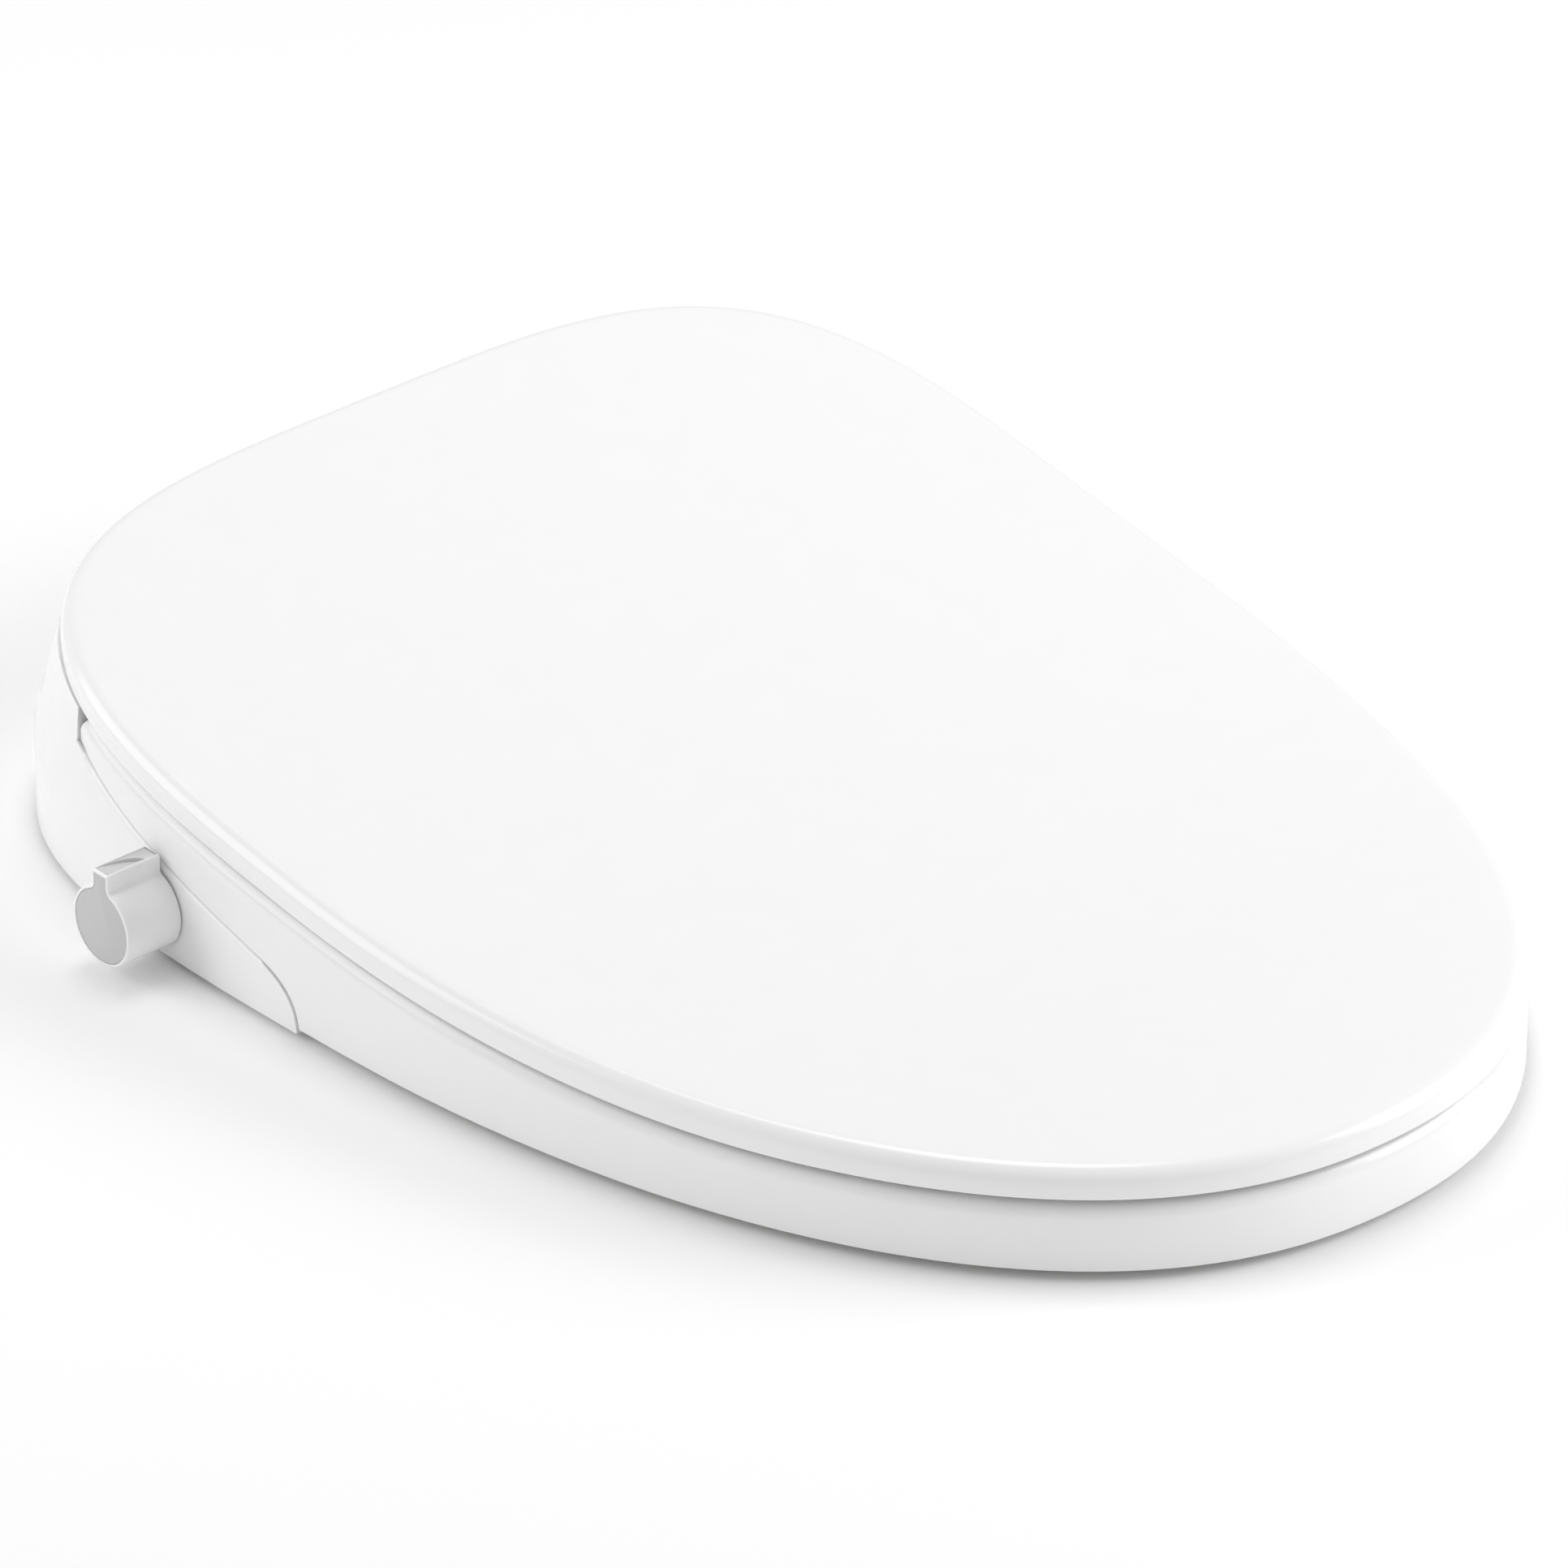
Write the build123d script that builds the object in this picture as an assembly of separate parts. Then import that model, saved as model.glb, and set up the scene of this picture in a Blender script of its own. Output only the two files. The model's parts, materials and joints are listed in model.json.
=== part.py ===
"""Electric bidet seat for an elongated toilet, closed, as separate pieces.

Millimetres. X runs across the toilet, the nose points to -Y and Z is up. The origin lies midway
between the two bolt slots of the mounting plate, on the plane that the seat stands on.
"""
from build123d import *
from math import atan, cos, degrees, pi, radians, sin, sqrt
import os

# overall plan, measured back from the nose
WIDTH = 376.0
LID_LENGTH = 508.0
TOTAL_LENGTH = 524.0
WIDEST_FROM_NOSE = 325.5
BOLTS_FROM_NOSE = 470.0
NOSE_POWER = 2.2          # superellipse exponent of the front half
TAIL_POWER = 3.7          # and of the lid's rear half
HOUSING_POWER = 3.4
HOUSING_REACH = 210.0     # rear semi-axis of the housing before it is cut straight

# side view: a nearly level front run, then a long arc rising to the hinge
EDGE_AT_NOSE = 29.6       # lid's lower edge above the base plane
EDGE_SLOPE = 0.001
LEVEL_RUN = 112.0
RISE_RADIUS = 1400.0

# lid
LID_RIM = 12.5
LID_WALL = 2.5
LID_ROUND = 7.0
LINER_DROP = 6.0          # liner face above the lid's lower edge
LINER_THICK = 1.8
LINER_REAR = 452.0

# seat ring
SEAT_GAP = 1.4            # dark gap under the lid
SEAT_FLOOR = 3.5          # seat's lower edge above the base plane
SEAT_WALL = 3.0
SEAT_ROUND = 7.0
SEAT_LOWER_THICK = 2.5
SEAT_END = 441.0
OPENING_HALF_WIDTH = 108.0
OPENING_FRONT = 70.0
OPENING_REAR = 352.0
OPENING_POWER = 2.3
MAT_THICK = 0.8

# housing
WING_TIP = 318.0
WING_WIDTH = 44.0
WING_NOSE_HEIGHT = 24.0   # where the wing's steep nose turns into its long slope
WING_NOSE_RUN = 26.0
WING_END_HEIGHT = 55.9    # top of the slope at the seat's rear end
HOUSING_FRONT = 402.0
HOUSING_PROUD = 0.6       # beyond the seat's own outline
LID_TUCK = 1.5            # housing's top edge inside the lid's outline
COVER_WALL = 2.6
TRAY_THICK = 2.5
TRAY_BOTTOM = 2.0         # the rubber feet lift the tray this much
TRAY_CURB = 7.0
CURB_THICK = 2.0
REAR_WALL_TOP = 36.0
REAR_SHELF = 49.0         # height of the sloped shelf under the hinge
HINGE_WALL = 488.0        # upright wall behind the hinge block

# hinge
AXIS_FROM_NOSE = 490.0
AXIS_HEIGHT = 80.0
PIN_RADIUS = 3.0
KNUCKLE_RADIUS = 7.0
KNUCKLE_WALL_GAP = 1.2
RUNNING = 0.05            # radial clearance of a running fit
FACE_GAP = 0.6            # between faces that pass each other
BOSS_AT = 54.0            # centres of the hinge knuckles across the width
SEAT_ARM_AT = 68.0
LID_EAR_AT = 87.0
DAMPER_AT = 103.0
BOSS_WIDTH = 6.0
SEAT_ARM_WIDTH = 18.0
LID_EAR_WIDTH = 14.0
DAMPER_WIDTH = 14.0

# dial on the user's right
DIAL_FROM_NOSE = 391.0
DIAL_HEIGHT = 19.5
DIAL_RADIUS = 14.5
DIAL_REACH = 22.0
DIAL_GAP = 1.4            # the wall bulges a little in front of the dial
GRIP_THICK = 8.4
GRIP_TOP = 20.5
GRIP_SCOOP = 1.6
CAP_RIM = 1.2
CAP_THICK = 1.2
SPINDLE_RADIUS = 4.0
SPINDLE_LENGTH = 24.0
VALVE_RADIUS = 12.0
VALVE_LENGTH = 22.0
SEAL_RADIUS = 7.5
SEAL_THICK = 2.0

# mounting plate and release
PLATE_WIDTH = 196.0
PLATE_DEPTH = 62.0
PLATE_THICK = 4.0
BOLT_SPACING = 140.0
SLOT_WIDTH = 9.0
SLOT_LENGTH = 26.0
SLIDE_GAP = 0.8
BUTTON_WIDTH = 24.0
BUTTON_HEIGHT = 14.0
BUTTON_PROUD = 4.0
BUTTON_STROKE = 4.0
BUTTON_FROM_NOSE = 425.0
BUTTON_LEVEL = 18.0
LATCH_WIDTH = 12.0
SPRING_RADIUS = 3.5
SPRING_WIRE = 0.8
SPRING_TURNS = 5

# nozzles
NOZZLE_RADIUS = 6.0
NOZZLE_AT = 11.0          # each side of the middle
NOZZLE_TILT = 20.0
NOZZLE_LENGTH = 78.0
NOZZLE_TIP = 16.0
NOZZLE_HEIGHT = 26.0      # axis height at the housing's front wall
NOZZLE_RECESS = 4.0
NOZZLE_GAP = 0.5
RACK_WIDTH = 3.0
TOOTH_MODULE = 1.0
PINION_TEETH = 12
PINION_FROM_TIP = 12.0
PINION_WIDTH = 5.0
SHAFT_RADIUS = 1.5
RACK_PITCH_LINE = 2.6     # below the nozzle's own radius
BACKLASH = 0.2
MOTOR_RADIUS = 8.5
MOTOR_LENGTH = 15.0
MOTOR_GAP = 1.4
CRADLE_WALL = 1.8
CRADLE_LENGTH = 40.0
CRADLE_START = 6.0

# water and electrics
INLET_RADIUS = 10.4
INLET_BORE = 7.0
INLET_BODY = 11.5
INLET_UNDERCUT = 1.5      # thread relief between the body and the thread
INLET_PROUD = 11.5        # beyond the housing's rear wall
INLET_DEPTH = 12.0
INLET_NECK = 6.0
INLET_AT = 86.0
INLET_HEIGHT = 19.0
TANK = (78.0, 44.0, 30.0)
TANK_AT = (-62.0, -2.0)
BOARD = (84.0, 50.0, 1.6)
BOARD_AT = (62.0, -8.0)
HOSE_RADIUS = 3.2
GLAND_RADIUS = 6.0
GLAND_LENGTH = 8.0
GLAND_FLANGE = 8.0
LEAD_RADIUS = 3.0
GLAND_AT = -86.0
SCREW_RADIUS = 2.0
FOOT_SIZE = (30.0, 10.0)


def y_at(from_nose):
    """Y of a place measured back from the nose."""
    return from_nose - BOLTS_FROM_NOSE


def edge_z(from_nose):
    """Height of the lid's lower edge at a distance from the nose."""
    if from_nose <= LEVEL_RUN:
        return EDGE_AT_NOSE + EDGE_SLOPE * from_nose
    lean = atan(EDGE_SLOPE)
    along = from_nose - (LEVEL_RUN - RISE_RADIUS * sin(lean))
    start = EDGE_AT_NOSE + EDGE_SLOPE * LEVEL_RUN
    return start + RISE_RADIUS * cos(lean) - sqrt(RISE_RADIUS**2 - along**2)


def superellipse(half_width, front, rear, front_power, rear_power, widest, steps=9):
    """Closed face: two half superellipses that meet at the widest place."""
    points = []
    for step in range(4 * steps):
        turn = 2 * pi * step / (4 * steps)
        power, reach = (rear_power, rear) if sin(turn) > 0 else (front_power, front)
        x = abs(cos(turn)) ** (2 / power) * half_width
        y = abs(sin(turn)) ** (2 / power) * reach
        points.append((x if cos(turn) > 0 else -x, y_at(widest) + (y if sin(turn) > 0 else -y)))
    return make_face(Spline(*points, periodic=True))


def seat_plan(inset):
    """The outline that the lid and the seat share, taken in by inset."""
    return superellipse(
        WIDTH / 2 - inset, WIDEST_FROM_NOSE - inset, LID_LENGTH - WIDEST_FROM_NOSE - inset,
        NOSE_POWER, TAIL_POWER, WIDEST_FROM_NOSE)


def opening_plan(grow):
    """The seat's opening, grown outwards by grow."""
    reach = (OPENING_REAR - OPENING_FRONT) / 2
    return superellipse(
        OPENING_HALF_WIDTH + grow, reach + grow, reach + grow,
        OPENING_POWER, OPENING_POWER, OPENING_FRONT + reach)


def housing_plan(inset):
    """The housing's outer outline, cut straight across at the rear."""
    whole = superellipse(
        WIDTH / 2 + HOUSING_PROUD - inset, WIDEST_FROM_NOSE - inset, HOUSING_REACH - inset,
        NOSE_POWER, HOUSING_POWER, WIDEST_FROM_NOSE)
    rear = y_at(TOTAL_LENGTH - inset)
    front = y_at(WING_TIP) + inset
    keep = Pos(0, (rear + front) / 2) * Rectangle(2 * WIDTH, rear - front)
    return whole & keep


def prism(face, low=0.0, high=130.0):
    return Pos(0, 0, low) * extrude(face, high - low)


def across(*edges):
    """Solid of a side-view outline, run right across the width."""
    return extrude(Plane.YZ * make_face(Curve() + list(edges)), WIDTH, both=True)


def below_edge(lift):
    """Everything under the lid's lower-edge curve, lifted by lift."""
    margin = 20.0
    front = (y_at(-margin), edge_z(0) - EDGE_SLOPE * margin + lift)
    bend = (y_at(LEVEL_RUN), edge_z(LEVEL_RUN) + lift)
    sweep = degrees(atan((TOTAL_LENGTH + margin - LEVEL_RUN) / RISE_RADIUS))
    rise = JernArc(bend, (1, EDGE_SLOPE), RISE_RADIUS, sweep)
    end = rise @ 1
    floor = -40.0
    rest = Polyline((end.X, end.Y), (end.X, floor), (front[0], floor), front, bend)
    return across(rise, rest)


def below_seam(lift):
    """Everything under the wings' top curve: a steep nose, then a long slope."""
    tip = (y_at(WING_TIP) - lift, -40.0)
    foot = (y_at(WING_TIP) - lift, 0.0)
    turn = (y_at(WING_TIP + WING_NOSE_RUN), WING_NOSE_HEIGHT + lift)
    end = (y_at(SEAT_END + 60), WING_END_HEIGHT + 40 + lift)
    mid = (y_at(SEAT_END), WING_END_HEIGHT + lift)
    low = (end[0], -40.0)
    top = Spline(foot, turn, mid, end, tangents=[(0, 1), (0.75, 0.66)])
    return across(Polyline(end, low, tip, foot), top)


def slab(curve, low, high):
    """The layer between two lifts of a side curve."""
    return curve(high) - curve(low)


def rounded_top(solid, radius, over):
    """Round the outer edges that lie on top, where the top face meets the side wall."""
    face = solid.faces().filter_by(lambda f: f.normal_at().Z > 0.6).sort_by(Axis.Z)[-1]
    edges = face.outer_wire().edges() if over else face.edges()
    return fillet(edges, radius)


def rod(radius, start, end):
    """Round bar between two points."""
    line = Vector(*end) - Vector(*start)
    return Plane(Vector(*start), z_dir=line) * extrude(Circle(radius), line.length)


def cross_rod(radius, x, width, y, z):
    """Round bar along X, centred on x."""
    return rod(radius, (x - width / 2, y, z), (x + width / 2, y, z))


def block(x, y, z, width, depth, height):
    """Box centred on x and y that stands on z."""
    return Pos(x, y, z + height / 2) * Box(width, depth, height)


def both(make):
    """The same piece on both sides, as two solids of one node."""
    return Compound(children=[make(-1), make(1)])


def solids(*shapes):
    return Compound(children=list(shapes))


AXIS_Y = y_at(AXIS_FROM_NOSE)
DECK = PLATE_THICK + 2.5  # top of the tray's raised pan


# --- lid ------------------------------------------------------------------
def make_lid_shell():
    outer = prism(seat_plan(0)) & slab(below_edge, 0, LID_RIM)
    outer = rounded_top(outer, LID_ROUND, True)
    hollow = prism(seat_plan(LID_WALL)) & slab(below_edge, -5, LID_RIM - LID_WALL)
    return outer - hollow


def make_lid_liner():
    plate = prism(seat_plan(LID_WALL + 0.3)) & slab(below_edge, LINER_DROP, LINER_DROP + LINER_THICK)
    rear = block(0, y_at(LINER_REAR) + 100, 0, 2 * WIDTH, 200, 200)
    ribs = None
    for x in (-96, -32, 32, 96):
        rib = block(x, y_at(250), 0, 2, 300, 200) & slab(
            below_edge, LINER_DROP + LINER_THICK, LID_RIM - LID_WALL)
        ribs = rib if ribs is None else ribs + rib
    return (plate - rear) + (ribs & prism(seat_plan(30)))


def make_lid_arm(side):
    """Ear that hangs from the lid's top and turns on the hinge pin."""
    x = side * LID_EAR_AT
    top = edge_z(AXIS_FROM_NOSE) + LID_RIM - LID_WALL
    web = block(x, AXIS_Y - 14, AXIS_HEIGHT - 2, LID_EAR_WIDTH, 34, 40)
    web = web & slab(below_edge, 1.5, LID_RIM - LID_WALL)
    neck = block(x, AXIS_Y, AXIS_HEIGHT, LID_EAR_WIDTH, 2 * KNUCKLE_RADIUS, top - AXIS_HEIGHT)
    neck = neck & below_edge(LID_RIM - LID_WALL)
    ear = cross_rod(KNUCKLE_RADIUS, x, LID_EAR_WIDTH, AXIS_Y, AXIS_HEIGHT) + web + neck
    return ear - cross_rod(PIN_RADIUS + RUNNING, x, 40, AXIS_Y, AXIS_HEIGHT)


def make_lid_bumper(x, from_nose):
    return block_round(x, y_at(from_nose), 0, 6, 100) & slab(
        below_edge, 0.4 - SEAT_GAP, LINER_DROP)


# --- seat -----------------------------------------------------------------
def ring(outer_inset, opening_grow, low, high):
    body = prism(seat_plan(outer_inset), low, high) - prism(opening_plan(opening_grow), -50, 200)
    return body - block(0, y_at(SEAT_END) + 100 - outer_inset, -50, 2 * WIDTH, 200, 300)


def make_seat_top():
    outer = ring(0, 0, SEAT_FLOOR, 120) & below_edge(-SEAT_GAP)
    outer = outer - below_seam(FACE_GAP)
    outer = rounded_top(outer, SEAT_ROUND, False)
    hollow = ring(SEAT_WALL, SEAT_WALL, -5, 120) & below_edge(-SEAT_GAP - SEAT_WALL)
    return outer - hollow


def make_seat_arm(side):
    """Arm from the ring's rear end to the hinge, lying in a slot of the housing."""
    x = side * SEAT_ARM_AT
    low = WING_END_HEIGHT + 2
    top = edge_z(SEAT_END) - SEAT_GAP
    reach = make_face(Polyline(
        (y_at(SEAT_END), low), (y_at(SEAT_END), top - 0.5), (AXIS_Y - 6, AXIS_HEIGHT + 4),
        (AXIS_Y, AXIS_HEIGHT + 5), (AXIS_Y + 2, AXIS_HEIGHT - 6), (AXIS_Y - 8, AXIS_HEIGHT - 10),
        close=True))
    arm = Pos(x) * extrude(Plane.YZ * reach, SEAT_ARM_WIDTH / 2, both=True)
    arm = arm + cross_rod(KNUCKLE_RADIUS, x, SEAT_ARM_WIDTH, AXIS_Y, AXIS_HEIGHT)
    return arm - cross_rod(PIN_RADIUS + RUNNING, x, 40, AXIS_Y, AXIS_HEIGHT)


def make_seat_lower():
    inset = SEAT_WALL + 0.3
    plate = ring(inset, inset, SEAT_FLOOR, 120) & below_edge(-SEAT_GAP - SEAT_WALL - MAT_THICK - 0.4)
    flat = plate & prism(Rectangle(3 * WIDTH, 3 * LID_LENGTH), 0, SEAT_FLOOR + SEAT_LOWER_THICK)
    raised = plate & slab(below_seam, FACE_GAP, FACE_GAP + SEAT_LOWER_THICK)
    return (flat + raised) - below_seam(FACE_GAP)


def make_seat_mat():
    """Foil heating mat under the seat's top skin."""
    inset = SEAT_WALL + 9
    top = -SEAT_GAP - SEAT_WALL
    mat = ring(inset, inset, SEAT_FLOOR, 120) & slab(below_edge, top - MAT_THICK, top)
    return mat - block(0, y_at(SEAT_END) + 86, -50, 2 * WIDTH, 200, 300)


def make_seat_bumper(x, from_nose):
    return block(x, y_at(from_nose), 0, 34, 11, SEAT_FLOOR)


# --- housing --------------------------------------------------------------
def side_shape(inset):
    """Side view of the housing behind the wings' slope, taken in by inset."""
    block_front = y_at(SEAT_END) + FACE_GAP + inset
    wall = y_at(HINGE_WALL) - inset
    rear = y_at(TOTAL_LENGTH) - inset
    outline = Polyline(
        (block_front, -40), (block_front, 120), (wall, 120), (wall, REAR_SHELF - inset),
        (rear, REAR_WALL_TOP - inset), (rear, -40), close=True)
    return across(outline) & below_edge(-1.0 - inset)


def front_cut(inset):
    """The bowl's space between the wings, in front of the housing."""
    half = WIDTH / 2 - WING_WIDTH + inset
    depth = HOUSING_FRONT - WING_TIP + inset
    plan = Pos(0, y_at(WING_TIP) + depth - 200) * RectangleRounded(2 * half, 400, 50 + inset)
    return prism(plan, -50, 200)


def housing_mass(inset, low):
    """Upright walls up to the rear shelf, then a draft inwards to the lid's outline."""
    wide = superellipse(
        WIDTH / 2 + HOUSING_PROUD - inset, WIDEST_FROM_NOSE - inset, HOUSING_REACH - inset,
        NOSE_POWER, HOUSING_POWER, WIDEST_FROM_NOSE)
    top = AXIS_HEIGHT + 10
    upper = loft([Pos(0, 0, REAR_WALL_TOP) * wide, Pos(0, 0, top) * seat_plan(LID_TUCK + inset)])
    return prism(housing_plan(inset), low, REAR_WALL_TOP) + upper


def housing_body(inset, low):
    sides = side_shape(inset) + (below_seam(-inset) & block(
        0, y_at(SEAT_END) - 100 + FACE_GAP + inset, -40, 3 * WIDTH, 200 + 0.1, 200))
    return (housing_mass(inset, low) & sides) - front_cut(inset)


def hinge_slot(side, at, width):
    """Slot in the housing for a knuckle and the arm that leads to it."""
    x = side * at
    gap = width / 2 + FACE_GAP
    low = WING_END_HEIGHT + 2 - KNUCKLE_WALL_GAP
    radius = KNUCKLE_RADIUS + KNUCKLE_WALL_GAP
    reach = make_face(Polyline(
        (y_at(SEAT_END), low), (y_at(SEAT_END) - 9, low), (y_at(SEAT_END) - 9, 130),
        (AXIS_Y + 20, 130), (AXIS_Y + 20, AXIS_HEIGHT), (AXIS_Y, AXIS_HEIGHT - radius),
        (AXIS_Y - 8, AXIS_HEIGHT - 11.5), close=True))
    slot = Pos(x) * extrude(Plane.YZ * reach, gap, both=True)
    return slot + cross_rod(radius, x, 2 * gap, AXIS_Y, AXIS_HEIGHT)


def hinge_well(side):
    """Room in the housing's top for the lid's ear."""
    gap = LID_EAR_WIDTH / 2 + FACE_GAP
    x = side * LID_EAR_AT
    radius = KNUCKLE_RADIUS + KNUCKLE_WALL_GAP
    well = block(x, AXIS_Y - 14, AXIS_HEIGHT - 4, 2 * gap, 38, 60)
    return well + cross_rod(radius, x, 2 * gap, AXIS_Y, AXIS_HEIGHT)


def make_rear_cover():
    outer = housing_body(0, TRAY_BOTTOM)
    hollow = housing_body(COVER_WALL, -20)
    for side in (-1, 1):
        pad = block(side * 81, AXIS_Y - 24, 50, 66, 62, 60)
        hollow = hollow - pad
        outer = outer + (cross_rod(8, side * 81, 66, AXIS_Y, AXIS_HEIGHT) & block(
            side * 81, AXIS_Y, 60, 66, 40, 40))
    cover = outer - hollow
    for x, y in screw_places():
        cover = cover + (screw_boss(x, y) & outer) - screw(x, y)
    for side in (-1, 1):
        cover = cover - hinge_slot(side, SEAT_ARM_AT, SEAT_ARM_WIDTH) - hinge_well(side)
        pin_at = side * (BOSS_AT + DAMPER_AT) / 2
        cover = cover - cross_rod(PIN_RADIUS, pin_at, DAMPER_AT - BOSS_AT + BOSS_WIDTH,
                                  AXIS_Y, AXIS_HEIGHT)
        cover = cover - cross_rod(6, side * DAMPER_AT, DAMPER_WIDTH, AXIS_Y, AXIS_HEIGHT)
    cover = cover - block(0, y_at(HOUSING_FRONT), NOZZLE_HEIGHT - 16,
                          2 * (NOZZLE_AT + NOZZLE_RADIUS + 4), 30, 28)
    cover = cover - dial_hole() - button_hole() - inlet_hole() - gland_hole()
    return cover


def wall_x(from_nose):
    """Half-width of the housing's outer wall at a distance from the nose."""
    share = (from_nose - WIDEST_FROM_NOSE) / HOUSING_REACH
    return (WIDTH / 2 + HOUSING_PROUD) * (1 - share**HOUSING_POWER) ** (1 / HOUSING_POWER)


DIAL_Y = y_at(DIAL_FROM_NOSE)
DIAL_BACK = -wall_x(DIAL_FROM_NOSE) - DIAL_GAP
DIAL_FACE = DIAL_BACK - DIAL_REACH
TRAY_TOP = TRAY_BOTTOM + TRAY_THICK
TRAY_INSET = COVER_WALL + 0.2
REAR_Y = y_at(TOTAL_LENGTH)
BUTTON_Y = y_at(BUTTON_FROM_NOSE)
BUTTON_FACE = wall_x(BUTTON_FROM_NOSE) + BUTTON_PROUD
BUTTON_DEPTH = 18.0


def dial_hole():
    return cross_rod(SPINDLE_RADIUS + RUNNING, DIAL_BACK, 30, DIAL_Y, DIAL_HEIGHT)


def button_hole():
    return block(BUTTON_FACE - BUTTON_DEPTH / 2, BUTTON_Y, BUTTON_LEVEL - BUTTON_HEIGHT / 2 - 0.3,
                 BUTTON_DEPTH + 30, BUTTON_WIDTH + 0.6, BUTTON_HEIGHT + 0.6)


def rear_rod(x, radius, start, end):
    """Round bar through the rear wall, between two distances behind that wall's face."""
    return rod(radius, (x, REAR_Y + start, INLET_HEIGHT), (x, REAR_Y + end, INLET_HEIGHT))


def inlet_rod(radius, start, end):
    return rear_rod(INLET_AT, radius, start, end)


def inlet_hole():
    return inlet_rod(INLET_BODY, -INLET_DEPTH, 5)


def gland_hole():
    return rear_rod(GLAND_AT, GLAND_RADIUS, -INLET_DEPTH, 5)


def gland_room():
    return rear_rod(GLAND_AT, GLAND_RADIUS + 2.5, -INLET_DEPTH, 5)


# --- base tray, plate and release -------------------------------------------
def screw_places():
    return [(side * x, y_at(d)) for side in (-1, 1) for x, d in ((166, 352), (158, 472), (112, 508))]


def screw_boss(x, y):
    return block_round(x, y, TRAY_TOP, 4.6, 100)


def screw(x, y):
    return block_round(x, y, TRAY_BOTTOM, 3.6, 1.4) + block_round(x, y, TRAY_BOTTOM, SCREW_RADIUS, 16)


def block_round(x, y, z, radius, height):
    return Pos(x, y, z) * extrude(Circle(radius), height)


def make_base_tray():
    plan = housing_plan(TRAY_INSET)
    tip_limit = below_seam(-TRAY_INSET) + block(0, y_at(SEAT_END), -1, 3 * WIDTH, 160, 60)
    tray = prism(plan, TRAY_BOTTOM, TRAY_TOP) - front_cut(TRAY_INSET)
    curb = prism(plan, TRAY_TOP, TRAY_TOP + TRAY_CURB) - front_cut(TRAY_INSET)
    curb = curb - (prism(housing_plan(TRAY_INSET + CURB_THICK), 0, 60)
                   - front_cut(TRAY_INSET + CURB_THICK))
    pan = block(0, 0, TRAY_BOTTOM, PLATE_WIDTH + 8, PLATE_DEPTH + 8, DECK - TRAY_BOTTOM)
    room = block(0, 0, -1, PLATE_WIDTH + SLIDE_GAP, PLATE_DEPTH + SLIDE_GAP, PLATE_THICK + 1)
    stop = block(BUTTON_FACE - BUTTON_DEPTH - 15, BUTTON_Y, TRAY_TOP, 2, 12, BUTTON_LEVEL + 4 - TRAY_TOP)
    tray = (tray + pan + curb + stop) - room - latch_window(1.0) - dial_curb_gap() - button_hole()
    tray = tray - inlet_hole() - gland_room() - latch_slot()
    for x, y in screw_places():
        tray = tray - screw(x, y)
    return tray & tip_limit


def dial_curb_gap():
    return cross_rod(VALVE_RADIUS, DIAL_BACK, 40, DIAL_Y, DIAL_HEIGHT)


def make_base_feet():
    places = [(side * x, y_at(d)) for side in (-1, 1) for x, d in ((166, 336), (162, 420), (90, 511))]
    return solids(*[block(x, y, 0, FOOT_SIZE[1], FOOT_SIZE[0], TRAY_BOTTOM) if x * x > 10000
                    else block(x, y, 0, FOOT_SIZE[0], FOOT_SIZE[1], TRAY_BOTTOM) for x, y in places])


HOOK_AT = PLATE_WIDTH / 2 - 10.0
HOOK_LENGTH = 4.0
WINDOW_LENGTH = HOOK_LENGTH + BUTTON_STROKE + 2.0


def latch_window(grow):
    """Window in the plate that the latch's hook drops into."""
    return block(HOOK_AT - (WINDOW_LENGTH - HOOK_LENGTH) / 2 + 0.2, LATCH_Y, -1,
                 WINDOW_LENGTH + 2 * grow, LATCH_WIDTH + 1 + 2 * grow, 20)


LATCH_Y = -PLATE_DEPTH / 2 + 14.0


def latch_slot():
    """Keeps the release bar's path clear of the tray's raised pan."""
    return block(HOOK_AT + 20, LATCH_Y, PLATE_THICK + 2.4, 70, LATCH_WIDTH + 1, 10)


def make_mounting_plate():
    plate = block(0, 0, 0, PLATE_WIDTH, PLATE_DEPTH, PLATE_THICK)
    plate = fillet(plate.edges().filter_by(Axis.Z), 8)
    slot = extrude(SlotOverall(SLOT_LENGTH, SLOT_WIDTH), PLATE_THICK + 2)
    for side in (-1, 1):
        plate = plate - Pos(side * BOLT_SPACING / 2, 0, -1) * slot
    return plate - latch_window(0)


def make_release_button():
    x = BUTTON_FACE - BUTTON_DEPTH / 2
    body = block(x, BUTTON_Y, BUTTON_LEVEL - BUTTON_HEIGHT / 2, BUTTON_DEPTH, BUTTON_WIDTH, BUTTON_HEIGHT)
    return fillet(body.faces().sort_by(Axis.X)[-1].edges(), 1.5)


def make_release_latch():
    """Bar from the button to the hook that holds the mounting plate."""
    low = PLATE_THICK + 3.0
    back = BUTTON_FACE - BUTTON_DEPTH
    run = back - 6 - (HOOK_AT - HOOK_LENGTH / 2)
    bar = block(back - 6 - run / 2, LATCH_Y, low, run, LATCH_WIDTH, 3)
    hook = block(HOOK_AT, LATCH_Y, 1.0, HOOK_LENGTH, LATCH_WIDTH, low + 1 - 1.0)
    link = block(back - 3, (LATCH_Y + BUTTON_Y - 8) / 2, low, 6,
                 LATCH_Y - BUTTON_Y + 8 + LATCH_WIDTH, 6)
    return bar + hook + link


def make_release_spring():
    length = 14.0
    coil = Helix(length / SPRING_TURNS, length - SPRING_WIRE, SPRING_RADIUS)
    wire = sweep(Plane(coil @ 0, z_dir=coil % 0) * Circle(SPRING_WIRE / 2), path=coil)
    start = BUTTON_FACE - BUTTON_DEPTH - length + SPRING_WIRE / 2
    return Plane((start, BUTTON_Y, BUTTON_LEVEL), z_dir=(1, 0, 0)) * wire


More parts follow.
